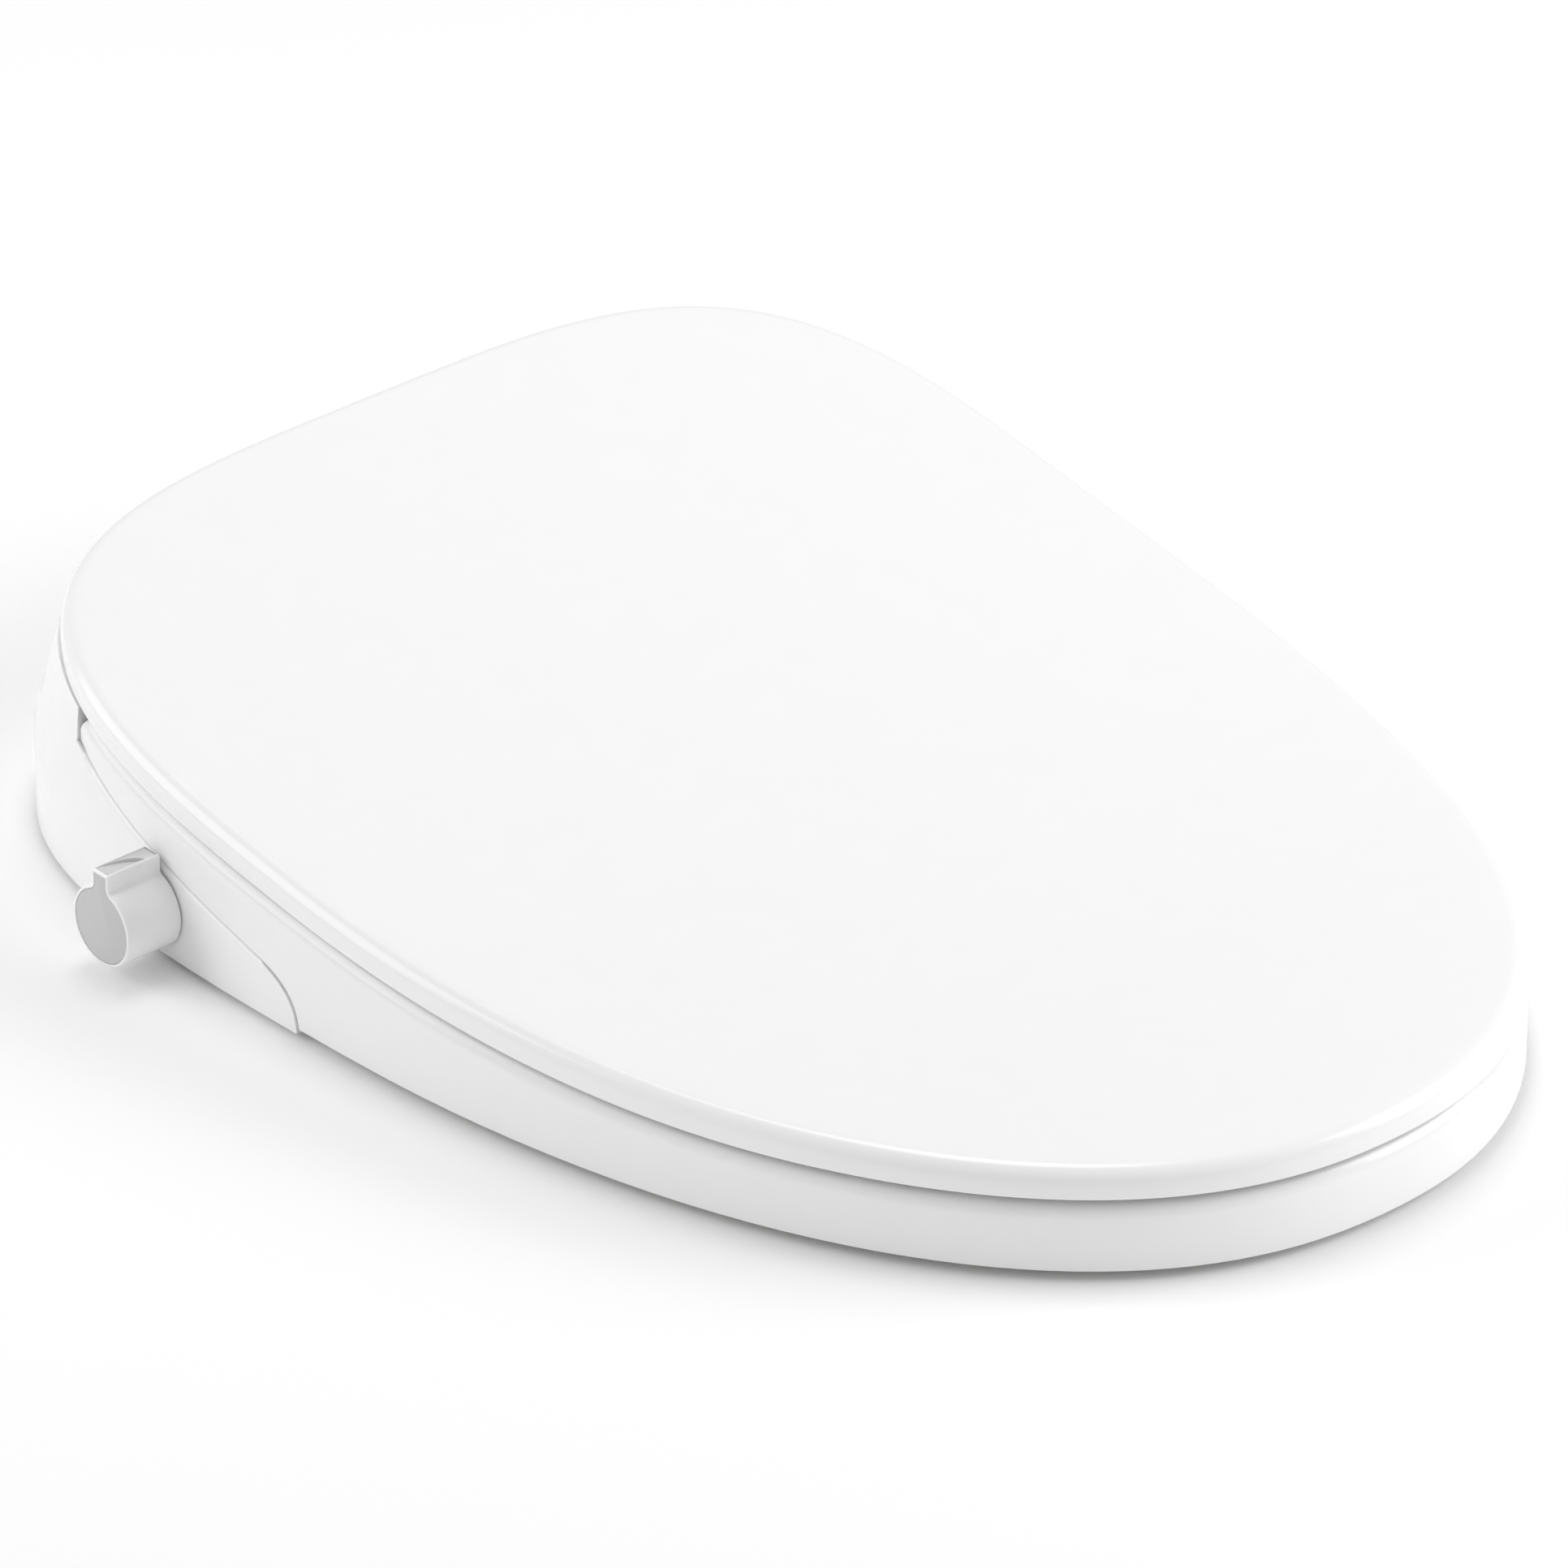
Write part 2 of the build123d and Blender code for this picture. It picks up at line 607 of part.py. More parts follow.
# --- hinge -------------------------------------------------------------------
def make_hinge_pin(side):
    start = side * (BOSS_AT - BOSS_WIDTH / 2)
    end = side * (DAMPER_AT + DAMPER_WIDTH / 2)
    return rod(PIN_RADIUS, (start, AXIS_Y, AXIS_HEIGHT), (end, AXIS_Y, AXIS_HEIGHT))


def make_hinge_damper(side):
    body = cross_rod(6, side * DAMPER_AT, DAMPER_WIDTH, AXIS_Y, AXIS_HEIGHT)
    return body - cross_rod(PIN_RADIUS, side * DAMPER_AT, 40, AXIS_Y, AXIS_HEIGHT)


# --- dial and diverter ---------------------------------------------------------
def keyhole(inset):
    """The dial's face: a disc with a tab that runs up the pointer grip."""
    disc = Circle(DIAL_RADIUS - inset)
    tab = Pos(0, (GRIP_TOP - inset) / 2) * Rectangle(GRIP_THICK - 2 * inset, GRIP_TOP - inset)
    return disc + tab


def dial_plane(x):
    """Plane square to the dial's axis, seen from outside, with its Y pointing up."""
    return Plane((x, DIAL_Y, DIAL_HEIGHT), x_dir=(0, -1, 0), z_dir=(-1, 0, 0))


def make_dial_knob():
    knob = dial_plane(DIAL_BACK) * extrude(keyhole(0), DIAL_REACH)
    recess = dial_plane(DIAL_FACE + CAP_THICK) * extrude(keyhole(CAP_RIM), CAP_THICK + 1)
    groove_high = DIAL_HEIGHT + GRIP_TOP + GRIP_THICK - GRIP_SCOOP
    groove = cross_rod(GRIP_THICK * 0.85, DIAL_BACK - DIAL_REACH / 2, DIAL_REACH - 5, DIAL_Y,
                       groove_high - 0.15 * GRIP_THICK)
    knob = knob - recess - groove
    knob = knob - dial_plane(DIAL_BACK) * extrude(Circle(SEAL_RADIUS), SEAL_THICK)
    return knob - dial_plane(DIAL_BACK) * extrude(Circle(SPINDLE_RADIUS), DIAL_REACH - 8)


def make_dial_cap():
    return dial_plane(DIAL_FACE + CAP_THICK) * extrude(keyhole(CAP_RIM), CAP_THICK)


def make_dial_spindle():
    reach = DIAL_REACH - 8
    return cross_rod(SPINDLE_RADIUS, DIAL_BACK - reach / 2 + SPINDLE_LENGTH / 2,
                     SPINDLE_LENGTH + reach, DIAL_Y, DIAL_HEIGHT)


def make_dial_seal():
    ring_face = Circle(SEAL_RADIUS) - Circle(SPINDLE_RADIUS)
    return dial_plane(DIAL_BACK) * extrude(ring_face, SEAL_THICK)


def valve_start():
    return -wall_x(DIAL_FROM_NOSE + VALVE_RADIUS) + TRAY_INSET + CURB_THICK + FACE_GAP


def make_diverter_valve():
    start = valve_start()
    body = cross_rod(VALVE_RADIUS, start + VALVE_LENGTH / 2, VALVE_LENGTH, DIAL_Y, DIAL_HEIGHT)
    foot = block(start + VALVE_LENGTH / 2, DIAL_Y, TRAY_TOP, VALVE_LENGTH, 16, DIAL_HEIGHT - TRAY_TOP)
    body = body + foot
    bore = cross_rod(SPINDLE_RADIUS + RUNNING, DIAL_BACK, 2 * (SPINDLE_LENGTH + 0.5), DIAL_Y, DIAL_HEIGHT)
    return body - bore


# --- nozzles -------------------------------------------------------------------
NOZZLE_PLANE = Plane(
    (0, y_at(HOUSING_FRONT) + NOZZLE_RECESS, NOZZLE_HEIGHT), x_dir=(1, 0, 0),
    z_dir=(0, cos(radians(NOZZLE_TILT)), sin(radians(NOZZLE_TILT))))
PITCH_RADIUS = TOOTH_MODULE * PINION_TEETH / 2
RACK_LINE = NOZZLE_RADIUS + RACK_PITCH_LINE
PINION_DOWN = RACK_LINE + PITCH_RADIUS


def along_nozzle(x, down, start, length, face):
    """Face run along the nozzles: x across, down below their axes, start behind their tips."""
    return NOZZLE_PLANE * (Pos(x, down, start) * extrude(face, length))


def make_nozzle_tube(side):
    x = side * NOZZLE_AT
    face = Circle(NOZZLE_RADIUS)
    tube = along_nozzle(x, 0, NOZZLE_TIP, NOZZLE_LENGTH - NOZZLE_TIP, face)
    return tube - along_nozzle(x, 0, NOZZLE_TIP, NOZZLE_LENGTH, Circle(NOZZLE_RADIUS - 2))


def make_nozzle_tip(side):
    x = side * NOZZLE_AT
    tip = Pos(x, 0, 0) * extrude(Circle(NOZZLE_RADIUS), NOZZLE_TIP)
    tip = fillet(tip.faces().sort_by(Axis.Z)[0].edges(), 2.5)
    for step in range(3):
        tip = tip - Pos(x, -NOZZLE_RADIUS, 5 + 2.2 * step) * Sphere(0.6)
    return NOZZLE_PLANE * tip


def make_nozzle_rack(side):
    """Toothed strip on the nozzle's underside, with a gap centred over the pinion."""
    half = TOOTH_MODULE * pi / 4 - BACKLASH / 2
    slope = TOOTH_MODULE * 0.364
    root = RACK_LINE - 1.25 * TOOTH_MODULE
    tip = RACK_LINE + 0.9 * TOOTH_MODULE
    points = [(NOZZLE_LENGTH - 1, NOZZLE_RADIUS - 1), (3, NOZZLE_RADIUS - 1), (3, root)]
    pitch = TOOTH_MODULE * pi
    first = int((3.5 - PINION_FROM_TIP) / pitch)
    for tooth in range(first, int((NOZZLE_LENGTH - PINION_FROM_TIP) / pitch) - 1):
        middle = PINION_FROM_TIP + (tooth + 0.5) * pitch
        points += [(middle - half - 1.25 * slope, root), (middle - half + 0.9 * slope, tip),
                   (middle + half - 0.9 * slope, tip), (middle + half + 1.25 * slope, root)]
    points.append((NOZZLE_LENGTH - 1, root))
    outline = make_face(Polyline(*[(down, along) for along, down in points], close=True))
    upright = Plane((0, 0, 0), x_dir=(0, 1, 0), z_dir=(1, 0, 0)) * outline
    strip = extrude(upright, RACK_WIDTH / 2, both=True)
    strip = NOZZLE_PLANE * (Pos(side * NOZZLE_AT, 0, 0) * strip)
    return strip - along_nozzle(side * NOZZLE_AT, 0, 0, NOZZLE_LENGTH, Circle(NOZZLE_RADIUS))


def make_pinion(side):
    """Pinion under the rack, with its shaft running out to the motor."""
    points = []
    turn = 360 / PINION_TEETH
    for tooth in range(PINION_TEETH):
        for radius, off in ((4.75, -10.5), (6, -6.4), (6.95, -2.4), (6.95, 2.4), (6, 6.4), (4.75, 10.5)):
            angle = radians(tooth * turn + off - 90)
            points.append((radius * TOOTH_MODULE * cos(angle), radius * TOOTH_MODULE * sin(angle)))
    wheel = extrude(make_face(Polyline(*points, close=True)), PINION_WIDTH / 2, both=True)
    inner = PINION_WIDTH / 2
    outer = motor_start() + 6 - NOZZLE_AT
    wheel = wheel + Pos(0, 0, (outer - inner) / 2 if side > 0 else -(outer - inner) / 2) * extrude(
        Circle(SHAFT_RADIUS), (outer + inner) / 2, both=True)
    here = Plane((side * NOZZLE_AT, PINION_DOWN, PINION_FROM_TIP), x_dir=(0, 0, 1), z_dir=(1, 0, 0))
    return NOZZLE_PLANE * (here * (Rot(0, 0, 90) * wheel))


def motor_start():
    return NOZZLE_AT + NOZZLE_RADIUS + NOZZLE_GAP + CRADLE_WALL + MOTOR_GAP


def pinion_axis():
    """Y and Z of the pinions' common axis."""
    spot = NOZZLE_PLANE.from_local_coords(Vector(0, PINION_DOWN, PINION_FROM_TIP))
    return spot.Y, spot.Z


def make_motor(side):
    y, z = pinion_axis()
    x = side * (motor_start() + MOTOR_LENGTH / 2)
    body = cross_rod(MOTOR_RADIUS, x, MOTOR_LENGTH, y, z)
    foot = block(x, y, TRAY_TOP, MOTOR_LENGTH, 12, z - TRAY_TOP)
    return (body + foot) - cross_rod(SHAFT_RADIUS + RUNNING, x, MOTOR_LENGTH + 2, y, z)


def make_nozzle_cradle():
    """Block with two guide bores, open below for the racks and the pinions."""
    wide = 2 * (NOZZLE_AT + NOZZLE_RADIUS + NOZZLE_GAP + CRADLE_WALL)
    tall = 2 * (NOZZLE_RADIUS + NOZZLE_GAP + CRADLE_WALL)
    body = along_nozzle(0, 0, CRADLE_START, CRADLE_LENGTH, Rectangle(wide, tall))
    leg_y = y_at(HOUSING_FRONT + 24)
    body = body + block(0, leg_y, TRAY_TOP, 7, 14, NOZZLE_HEIGHT + 4 - TRAY_TOP)
    for side in (-1, 1):
        x = side * NOZZLE_AT
        body = body - along_nozzle(x, 0, -20, 200, Circle(NOZZLE_RADIUS + NOZZLE_GAP))
        body = body - along_nozzle(x, 15, -20, 200, Rectangle(RACK_WIDTH + 1.2, 30))
        body = body - along_nozzle(x, 15, PINION_FROM_TIP - 9, 18, Rectangle(PINION_WIDTH + 1.4, 22))
    y, z = pinion_axis()
    return body - cross_rod(SHAFT_RADIUS + 0.4, 0, 80, y, z)


# --- water path and electrics ------------------------------------------------------
def make_inlet_connector():
    body = inlet_rod(INLET_BODY, -INLET_DEPTH, 0) + inlet_rod(INLET_RADIUS - 1, 0, INLET_UNDERCUT)
    body = body + inlet_rod(INLET_RADIUS, INLET_UNDERCUT, INLET_PROUD)
    neck = inlet_rod(INLET_BORE + 1, -INLET_DEPTH - INLET_NECK, -INLET_DEPTH)
    return body + neck - inlet_rod(INLET_BORE, -INLET_DEPTH, INLET_PROUD + 2)


def make_inlet_filter():
    cup = inlet_rod(INLET_BORE, -INLET_DEPTH, -INLET_DEPTH + 6)
    return cup - inlet_rod(INLET_BORE - 1.5, -INLET_DEPTH + 1, 0)


def make_solenoid_valve():
    return block(INLET_AT, REAR_Y - 27, DECK, 24, 18, 20)


def make_solenoid_coil():
    return block(INLET_AT, REAR_Y - 27, DECK + 20, 16, 14, 10)


def make_heater_tank():
    x, y = TANK_AT
    base = DECK
    tank = block(x, y, base, *TANK)
    tank = fillet(tank.edges().filter_by(Axis.Z), 6)
    room = block(x, y, base + 3, TANK[0] - 6, TANK[1] - 6, TANK[2])
    return tank - room


def make_tank_lid():
    x, y = TANK_AT
    lid = block(x, y, DECK + TANK[2], TANK[0], TANK[1], 3)
    return fillet(lid.edges().filter_by(Axis.Z), 6)


def make_tank_sensors():
    x, y = TANK_AT
    top = DECK + TANK[2] + 3
    return solids(*[block_round(x + dx, y, top, 3, 4) for dx in (-24, 0, 24)])


def make_control_board():
    x, y = BOARD_AT
    board = block(x, y, DECK + 5, *BOARD)
    posts = [block_round(x + dx, y + dy, DECK, 2, 5) for dx in (-34, 34) for dy in (-18, 18)]
    for post in posts:
        board = board + post
    return board


def make_board_parts():
    x, y = BOARD_AT
    top = DECK + 5 + BOARD[2]
    chips = [block(x - 20, y + 8, top, 14, 14, 2), block(x + 18, y - 10, top, 22, 12, 12),
             block(x + 20, y + 14, top, 16, 10, 8)]
    cans = [block_round(x - 28 + 12 * n, y - 14, top, 4, 12) for n in range(3)]
    return solids(*chips, *cans)


def make_board_cover():
    x, y = BOARD_AT
    top = DECK + 5 + BOARD[2]
    shell = block(x, y, top, BOARD[0], BOARD[1], 16)
    return shell - block(x, y, top - 1, BOARD[0] - 4, BOARD[1] - 4, 15)


def make_power_supply():
    body = block(128, y_at(480), DECK, 34, 36, 24)
    return fillet(body.edges().filter_by(Axis.Z), 3)


def make_power_gland():
    """Grommet that the mains lead would pass through."""
    body = rear_rod(GLAND_AT, GLAND_RADIUS, -GLAND_LENGTH, 0)
    flange = rear_rod(GLAND_AT, GLAND_FLANGE, -COVER_WALL - 4, -COVER_WALL)
    return body + flange - rear_rod(GLAND_AT, LEAD_RADIUS, -GLAND_LENGTH - 1, 1)


def hose(bend, *points):
    path = FilletPolyline(*points, radius=bend)
    start = Plane(path @ 0, z_dir=path % 0)
    return sweep(start * Circle(HOSE_RADIUS), path=path)


def make_feed_hose():
    x, y = TANK_AT
    rear = REAR_Y - 23
    return hose(8, (INLET_AT - 12, rear, 15), (x, rear, 15), (x, y + TANK[1] / 2, 15))


def make_valve_hose():
    x, y = TANK_AT
    side = x - TANK[0] / 2
    valve = valve_start() + VALVE_LENGTH
    return hose(8, (side, y, 22), (valve + 14, y, 22), (valve + 14, DIAL_Y, DIAL_HEIGHT),
                (valve, DIAL_Y, DIAL_HEIGHT))


def make_nozzle_hose():
    x = valve_start() + VALVE_LENGTH / 2
    wide = NOZZLE_AT + NOZZLE_RADIUS + NOZZLE_GAP + CRADLE_WALL
    spot = NOZZLE_PLANE.from_local_coords(Vector(-wide, 0, CRADLE_START + CRADLE_LENGTH - 8))
    tube = hose(8, (x, DIAL_Y + VALVE_RADIUS - 1, DIAL_HEIGHT), (x, DIAL_Y + 34, 28),
                (x + 60, spot.Y, spot.Z), (spot.X, spot.Y, spot.Z))
    return tube - make_diverter_valve()


def make_seat_sensor():
    """Capacitive pad under the seat's front that feels a person."""
    pad = block(0, y_at(44), 0, 60, 18, 100)
    top = -SEAT_GAP - SEAT_WALL - MAT_THICK
    return pad & slab(below_edge, top - 1.2, top)


BUMPER_PLACES = [(-60, 45), (60, 45), (-134, 150), (134, 150), (-146, 262), (146, 262)]
LID_BUMPER_PLACES = [(-112, 72), (112, 72), (-150, 330), (150, 330)]

PIECES = {
    "lid_shell": make_lid_shell,
    "lid_liner": make_lid_liner,
    "lid_hinge_ears": lambda: both(make_lid_arm),
    "lid_bumpers": lambda: solids(*[make_lid_bumper(x, d) for x, d in LID_BUMPER_PLACES]),
    "seat_top": make_seat_top,
    "seat_hinge_arms": lambda: both(make_seat_arm),
    "seat_lower": make_seat_lower,
    "seat_heating_mat": make_seat_mat,
    "seat_sensor": make_seat_sensor,
    "seat_bumpers": lambda: solids(*[make_seat_bumper(x, d) for x, d in BUMPER_PLACES]),
    "rear_cover": make_rear_cover,
    "base_tray": make_base_tray,
    "base_feet": make_base_feet,
    "cover_screws": lambda: solids(*[screw(x, y) for x, y in screw_places()]),
    "mounting_plate": make_mounting_plate,
    "release_button": make_release_button,
    "release_latch": make_release_latch,
    "release_spring": make_release_spring,
    "hinge_pins": lambda: both(make_hinge_pin),
    "hinge_dampers": lambda: both(make_hinge_damper),
    "dial_knob": make_dial_knob,
    "dial_cap": make_dial_cap,
    "dial_spindle": make_dial_spindle,
    "dial_seal": make_dial_seal,
    "diverter_valve": make_diverter_valve,
    "nozzle_cradle": make_nozzle_cradle,
    "stepper_motors": lambda: both(make_motor),
    "inlet_connector": make_inlet_connector,
    "inlet_filter": make_inlet_filter,
    "solenoid_valve": make_solenoid_valve,
    "solenoid_coil": make_solenoid_coil,
    "heater_tank": make_heater_tank,
    "tank_lid": make_tank_lid,
    "tank_sensors": make_tank_sensors,
    "control_board": make_control_board,
    "board_parts": make_board_parts,
    "board_cover": make_board_cover,
    "power_supply": make_power_supply,
    "power_gland": make_power_gland,
    "feed_hose": make_feed_hose,
    "valve_hose": make_valve_hose,
    "nozzle_hose": make_nozzle_hose,
}
for hand, sign in (("right", -1), ("left", 1)):
    PIECES[f"nozzle_tube_{hand}"] = lambda sign=sign: make_nozzle_tube(sign)
    PIECES[f"nozzle_tip_{hand}"] = lambda sign=sign: make_nozzle_tip(sign)
    PIECES[f"nozzle_rack_{hand}"] = lambda sign=sign: make_nozzle_rack(sign)
    PIECES[f"pinion_{hand}"] = lambda sign=sign: make_pinion(sign)

os.makedirs("parts", exist_ok=True)
for name, make in PIECES.items():
    export_step(make(), f"parts/{name}.step")
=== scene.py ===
"""Looks of an electric bidet seat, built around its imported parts.

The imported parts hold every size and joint. This script gives the lid, the ring, the housing and
the dial their moulded skins, gives each part its material, and sets up the studio.
"""

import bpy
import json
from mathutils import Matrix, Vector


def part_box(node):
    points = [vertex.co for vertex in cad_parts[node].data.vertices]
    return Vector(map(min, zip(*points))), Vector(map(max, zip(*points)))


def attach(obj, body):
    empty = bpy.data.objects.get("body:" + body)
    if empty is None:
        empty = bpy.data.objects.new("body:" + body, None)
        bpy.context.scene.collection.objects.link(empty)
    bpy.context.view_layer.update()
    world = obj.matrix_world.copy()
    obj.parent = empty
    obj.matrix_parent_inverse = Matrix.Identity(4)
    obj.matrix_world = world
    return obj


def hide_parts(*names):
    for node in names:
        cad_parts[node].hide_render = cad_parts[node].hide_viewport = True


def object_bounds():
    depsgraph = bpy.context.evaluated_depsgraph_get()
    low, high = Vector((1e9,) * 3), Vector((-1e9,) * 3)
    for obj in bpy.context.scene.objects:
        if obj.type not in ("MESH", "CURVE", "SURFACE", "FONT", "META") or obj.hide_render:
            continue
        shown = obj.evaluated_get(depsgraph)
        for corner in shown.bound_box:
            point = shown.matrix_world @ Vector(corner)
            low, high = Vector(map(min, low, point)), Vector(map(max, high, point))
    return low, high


bl_info = {
    "name": "Bidet seat looks",
    "version": (1, 0, 0),
    "blender": (4, 5, 0),
    "location": "View3D > Sidebar > Bidet seat",
    "description": "Moulded skins, materials and studio for an electric bidet seat",
    "category": "Object",
}

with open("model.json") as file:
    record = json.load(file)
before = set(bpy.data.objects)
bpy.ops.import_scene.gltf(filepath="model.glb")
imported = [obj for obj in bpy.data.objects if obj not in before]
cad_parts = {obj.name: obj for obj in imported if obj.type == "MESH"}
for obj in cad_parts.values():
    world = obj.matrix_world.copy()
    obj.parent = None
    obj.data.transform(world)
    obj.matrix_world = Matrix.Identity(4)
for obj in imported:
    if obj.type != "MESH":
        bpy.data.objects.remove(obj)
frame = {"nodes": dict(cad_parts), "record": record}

import json
from math import atan, atan2, cos, pi, radians, sin, sqrt

import bmesh
import bpy
from bpy.props import FloatProperty, FloatVectorProperty, PointerProperty
from mathutils import Matrix, Vector

CAD_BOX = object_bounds()
NODES = frame["nodes"]
MM = 0.001

# plan and side view that the lid and the ring share, as the parts have them
NOSE_POWER = 2.2
TAIL_POWER = 3.7
WIDEST_FROM_NOSE = 325.5 * MM
EDGE_AT_NOSE = 29.6 * MM
EDGE_SLOPE = 0.001
LEVEL_RUN = 112 * MM
RISE_RADIUS = 1400 * MM
PLAN_STEPS = 288
HOLE_FACET = 1.5e-5          # larger than any facet of a hole's wall, square metres

# dial, as the parts have it
DIAL_RADIUS = 14.5 * MM
FIN_HALF = 4.2 * MM
KNOB_RIM = 0.8 * MM          # rounding of the knob's front rim
FIN_TIP = 0.9 * MM           # rounding of the fin's corners
PLATE_TIP = 0.2 * MM         # and of the plate's
PLATE_RIM = 0.12 * MM
PLATE_SINK = 0.1 * MM        # plate's face below the rim
CREST_RIM = 0.15 * MM        # white edge round the fin's crest
STRIP_MARGIN = 1.1 * MM      # from the fin's side to the strip
STRIP_FRONT = 1.4 * MM
STRIP_BACK = 0.7 * MM
STRIP_SINK = 0.12 * MM
STRIP_THICK = 0.4 * MM
STRIP_COLUMNS = 8
SCOOP_ROWS = 32
SCOOP_LENGTH = 0.78          # share of the strip that the scoop takes
SCOOP_BULGE = 1.94           # how far the crescent's wall swings across, in half widths
SCOOP_LIP = 0.05 * MM

# studio
FLOOR_HALF = 12.0
FLOOR_DROP = 0.2 * MM
LOOK_AT = Vector((0.03823, -0.13595, 0.0035))
TOP_LIGHT_AT = Vector((0.2, 0.3, 2.4))
SIDE_LIGHT_AWAY = 2.0
SIDE_LIGHT_UP = Vector((0, 0, 1.1))
SENSOR_WIDTH = 36            # millimetres


# --- colours and nodes ------------------------------------------------------------
def linear(code):
    """Linear colour of an sRGB hex code."""
    shares = [int(code[i:i + 2], 16) / 255 for i in (1, 3, 5)]
    return tuple(s / 12.92 if s <= 0.04045 else ((s + 0.055) / 1.055) ** 2.4 for s in shares)


def opaque(colour):
    """A colour with full alpha."""
    return (*colour, 1.0)


def add(tree, kind, links=None, inputs=None, **settings):
    """Add one node with its settings, its input values and the links into it."""
    node = tree.nodes.new(kind)
    for key, value in settings.items():
        setattr(node, key, value)
    for key, value in (inputs or {}).items():
        node.inputs[key].default_value = value
    for key, source in (links or {}).items():
        tree.links.new(source, node.inputs[key])
    return node


def surface(name, colour, roughness, grain, height, ior=1.5, metallic=0.0, tint=0.03,
            stretch=(1, 1, 1), cells=False, **shader):
    """Material whose colour, roughness and relief vary with one grain.

    grain is the size of the grain in millimetres and height its relief in millimetres.
    roughness is its lowest and highest value, and tint how much darker the low spots are.
    """
    material = bpy.data.materials.new(name)
    material.use_nodes = True
    tree = material.node_tree
    tree.nodes.clear()
    place = add(tree, "ShaderNodeTexCoord")
    turned = add(tree, "ShaderNodeMapping", {"Vector": place.outputs["Object"]},
                 {"Scale": stretch})
    kind = "ShaderNodeTexVoronoi" if cells else "ShaderNodeTexNoise"
    texture = add(tree, kind, {"Vector": turned.outputs["Vector"]},
                  {"Scale": 1 / (grain * MM)})
    value = texture.outputs["Distance" if cells else "Fac"]
    ramp = add(tree, "ShaderNodeValToRGB", {"Fac": value})
    low, high = ramp.color_ramp.elements
    low.position, high.position = 0.3, 0.7
    low.color = opaque([c * (1 - tint) for c in colour])
    high.color = opaque(colour)
    spread = add(tree, "ShaderNodeMapRange", {"Value": value},
                 {"From Min": 0.3, "From Max": 0.7, "To Min": roughness[0], "To Max": roughness[1]})
    relief = add(tree, "ShaderNodeBump", {"Height": value}, {"Distance": height * MM})
    shade = add(
        tree, "ShaderNodeBsdfPrincipled",
        {"Base Color": ramp.outputs["Color"], "Roughness": spread.outputs["Result"],
         "Normal": relief.outputs["Normal"]},
        {"IOR": ior, "Metallic": metallic, **shader})
    add(tree, "ShaderNodeOutputMaterial", {"Surface": shade.outputs["BSDF"]})
    return material


def make_materials(colours):
    """One material for each finish named in the record, by its name there."""
    return {
        # ABS, injection moulded in a polished tool: an even gloss with long, faint flow ripples
        "white_gloss": surface("moulded_gloss_abs", colours.white, (0.18, 0.22), 14, 0.008,
                               ior=1.53, tint=0.008),
        # polypropylene from a fine-sparked tool: satin, with a stipple that only shows close up
        "white_satin": surface("moulded_satin_polypropylene", linear("#E9E9E6"), (0.42, 0.52),
                               0.9, 0.02, ior=1.49, tint=0.02, cells=True),
        # silver-grey lacquer over ABS: flat and even, slightly metallic
        "grey_satin": surface("silver_lacquered_abs", colours.plate, (0.34, 0.40), 0.6, 0.004,
                              ior=1.5, metallic=0.12, tint=0.03),
        # painted light: the same lacquer on the fin's crest, a shade lighter to stand in for the
        # light on its upward face
        "grey_crest_painted_light": surface("silver_lacquered_crest_painted_light", linear("#DEDEDE"), (0.34, 0.40), 0.6,
                              0.004, ior=1.5, metallic=0.12, tint=0.03),
        # acetal gears and latches: dark, waxy, with a fine stipple
        "grey_plastic": surface("moulded_acetal", linear("#5E6062"), (0.36, 0.46), 0.8, 0.015,
                                ior=1.48, tint=0.08, cells=True),
        # silicone buffers: soft and dull, slightly dusty
        "white_rubber": surface("moulded_silicone_rubber", linear("#DEDED8"), (0.55, 0.68), 1.2,
                                0.02, ior=1.42, tint=0.04),
        # EPDM feet, seals and grommet
        "black_rubber": surface("moulded_epdm_rubber", linear("#222222"), (0.62, 0.78), 0.7,
                                0.02, ior=1.52, tint=0.25, cells=True),
        # drawn stainless tube and wire: brushed along its length
        "steel": surface("brushed_stainless_steel", linear("#C9CACB"), (0.16, 0.34), 0.5, 0.004,
                         metallic=1.0, tint=0.12, stretch=(1, 0.06, 1)),
        # machined brass with turning marks round the thread
        "brass": surface("machined_brass", linear("#C8A25A"), (0.2, 0.36), 0.5, 0.006,
                         metallic=1.0, tint=0.14, stretch=(1, 6, 1)),
        # epoxy glass laminate under green solder mask
        "board_green": surface("solder_masked_laminate", linear("#1E5B34"), (0.28, 0.4), 1.1,
                               0.01, ior=1.55, tint=0.3, cells=True),
        # rolled aluminium foil, lightly crinkled over its heating wire
        "heating_foil": surface("rolled_aluminium_foil", linear("#D4D5D6"), (0.2, 0.42), 4.0,
                                0.08, metallic=1.0, tint=0.12),
        # translucent silicone tube
        "hose_clear": surface("extruded_silicone_tube", linear("#D9DDDD"), (0.3, 0.4), 3.0, 0.02,
                              ior=1.41, tint=0.05, **{"Transmission Weight": 0.35}),
    }


# --- shapes -------------------------------------------------------------------------
def place_piece(name, bm, finish, body, crease=35, replaced=()):
    """Make an object of a bmesh, with its place in its mesh, that rides on a body."""
    mesh = bpy.data.meshes.new(name)
    bm.to_mesh(mesh)
    bm.free()
    mesh.shade_smooth()
    mesh.set_sharp_from_angle(angle=radians(crease))
    mesh.materials.append(MATERIALS[finish])
    piece = bpy.data.objects.new(name, mesh)
    bpy.context.scene.collection.objects.link(piece)
    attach(piece, body)
    if replaced:
        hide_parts(*replaced)
    return piece


